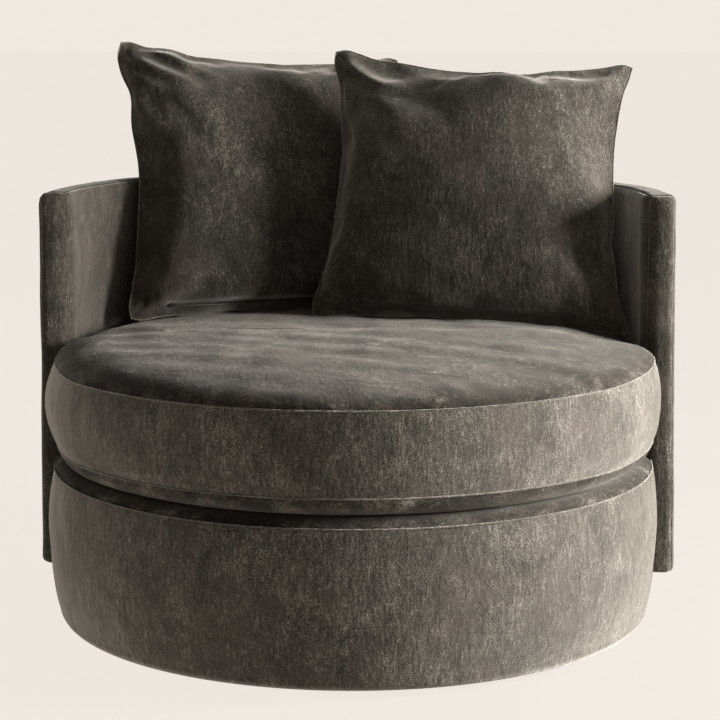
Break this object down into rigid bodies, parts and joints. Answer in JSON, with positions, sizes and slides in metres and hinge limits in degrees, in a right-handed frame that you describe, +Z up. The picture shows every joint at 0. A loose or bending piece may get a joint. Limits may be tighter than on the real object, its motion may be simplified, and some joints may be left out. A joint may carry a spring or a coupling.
{
  "type": "cuddle chair",
  "caption": "Round swivelling cuddle chair: drum base on a hidden swivel, half-round back and arms, loose round seat cushion and loose back cushions, in velvet.",
  "frame": {"origin": "swivel axis where it meets the floor, under the glides", "axes": "+Z up along the swivel axis, -Y towards the open front, +X to the right as seen from the front"},
  "size_m": [1.1676, 1.1528, 1.0402],
  "materials": {
    "velvet": "crushed velvet, dark olive brown with lighter nap",
    "foam": "cut upholstery foam",
    "wadding": "bonded fibre wadding",
    "feather_ticking": "plain cotton ticking filled with feather and fibre",
    "felt": "needled grey felt",
    "dust_cloth": "black non-woven cloth",
    "plywood": "sawn birch plywood",
    "hardwood": "planed hardwood",
    "hardboard": "thin bent hardboard",
    "spring_steel": "bright drawn wire",
    "zinc_steel": "zinc plated",
    "nylon": "moulded black nylon",
    "zip_tape": "woven tape with coil teeth",
    "zip_metal": "dark enamelled zinc"
  },
  "bodies": {
    "plinth": {"plinth_board": "plywood", "plinth_glides": "nylon", "glide_screws": "zinc_steel", "lower_plate_screws": "zinc_steel", "pivot_bolt": "zinc_steel", "pivot_nut": "zinc_steel", "swivel_lower_plate": "zinc_steel"},
    "ball_cage": {"ball_cage": "nylon", "bearing_balls": "spring_steel"},
    "chair": {"arm_front_pads": "foam", "arm_posts": "hardwood", "base_board": "plywood", "deck_cover": "velvet", "deck_foam": "foam", "drum_posts": "hardwood", "drum_side_cover": "velvet", "drum_side_foam": "foam", "drum_side_panel": "hardboard", "dust_cover": "dust_cloth", "joining_blocks": "hardwood", "joining_bolts": "zinc_steel", "joining_nuts": "zinc_steel", "left_arm_front_cover": "velvet", "lower_ring": "plywood", "pivot_bush": "nylon", "right_arm_front_cover": "velvet", "shell_bottom_rail": "plywood", "shell_inner_cover": "velvet", "shell_inner_foam": "foam", "shell_inner_panel": "plywood", "shell_outer_cover": "velvet", "shell_outer_panel": "hardboard", "shell_outer_wadding": "wadding", "shell_top_cover": "velvet", "shell_top_padding": "foam", "shell_top_rail": "plywood", "shell_uprights": "hardwood", "spring_clips": "zinc_steel", "spring_felt": "felt", "spring_rails": "hardwood", "swivel_upper_plate": "zinc_steel", "top_ring": "plywood", "upper_plate_screws": "zinc_steel", "zigzag_springs": "spring_steel"},
    "seat_cushion": {"seat_foam": "foam", "seat_top_panel": "velvet", "seat_border": "velvet", "seat_bottom_panel": "velvet", "seat_zip": "zip_tape"},
    "seat_zip_slider": {"seat_zip_slider": "zip_metal"},
    "left_back_cushion": {"left_back_pad": "feather_ticking", "left_back_front_cover": "velvet", "left_back_rear_cover": "velvet", "left_back_zip": "zip_tape"},
    "left_zip_slider": {"left_back_zip_slider": "zip_metal"},
    "right_back_cushion": {"right_back_pad": "feather_ticking", "right_back_front_cover": "velvet", "right_back_rear_cover": "velvet", "right_back_zip": "zip_tape"},
    "right_zip_slider": {"right_back_zip_slider": "zip_metal"}
  },
  "joints": [
    {"name": "swivel", "type": "hinge", "parent": "plinth", "child": "chair", "pos_m": [0, 0, 0.03], "axis": [0, 0, 1], "continuous": true},
    {"name": "cage_turn", "type": "hinge", "parent": "plinth", "child": "ball_cage", "pos_m": [0, 0, 0.03175], "axis": [0, 0, 1], "continuous": true},
    {"name": "seat_cushion_lift", "type": "slide", "parent": "chair", "child": "seat_cushion", "axis": [0, 0, 1], "range_m": [0, 0.3]},
    {"name": "left_cushion_lift", "type": "slide", "parent": "seat_cushion", "child": "left_back_cushion", "axis": [-0.05, 0.22, 0.9742], "range_m": [0, 0.3]},
    {"name": "right_cushion_lift", "type": "slide", "parent": "seat_cushion", "child": "right_back_cushion", "axis": [0, 0, 1], "range_m": [0, 0.3]},
    {"name": "seat_zip", "type": "hinge", "parent": "seat_cushion", "child": "seat_zip_slider", "pos_m": [0, 0, 0.415], "axis": [0, 0, 1], "range_deg": [0, 119]},
    {"name": "left_zip", "type": "slide", "parent": "left_back_cushion", "child": "left_zip_slider", "axis": [0.9499, 0.3124, 0.0103], "range_m": [0, 0.394]},
    {"name": "right_zip", "type": "slide", "parent": "right_back_cushion", "child": "right_zip_slider", "axis": [0.9884, -0.1487, -0.0298], "range_m": [0, 0.394]}
  ],
  "couplings": [
    {"joint": "cage_turn", "follows": "swivel", "ratio": 0.5}
  ]
}
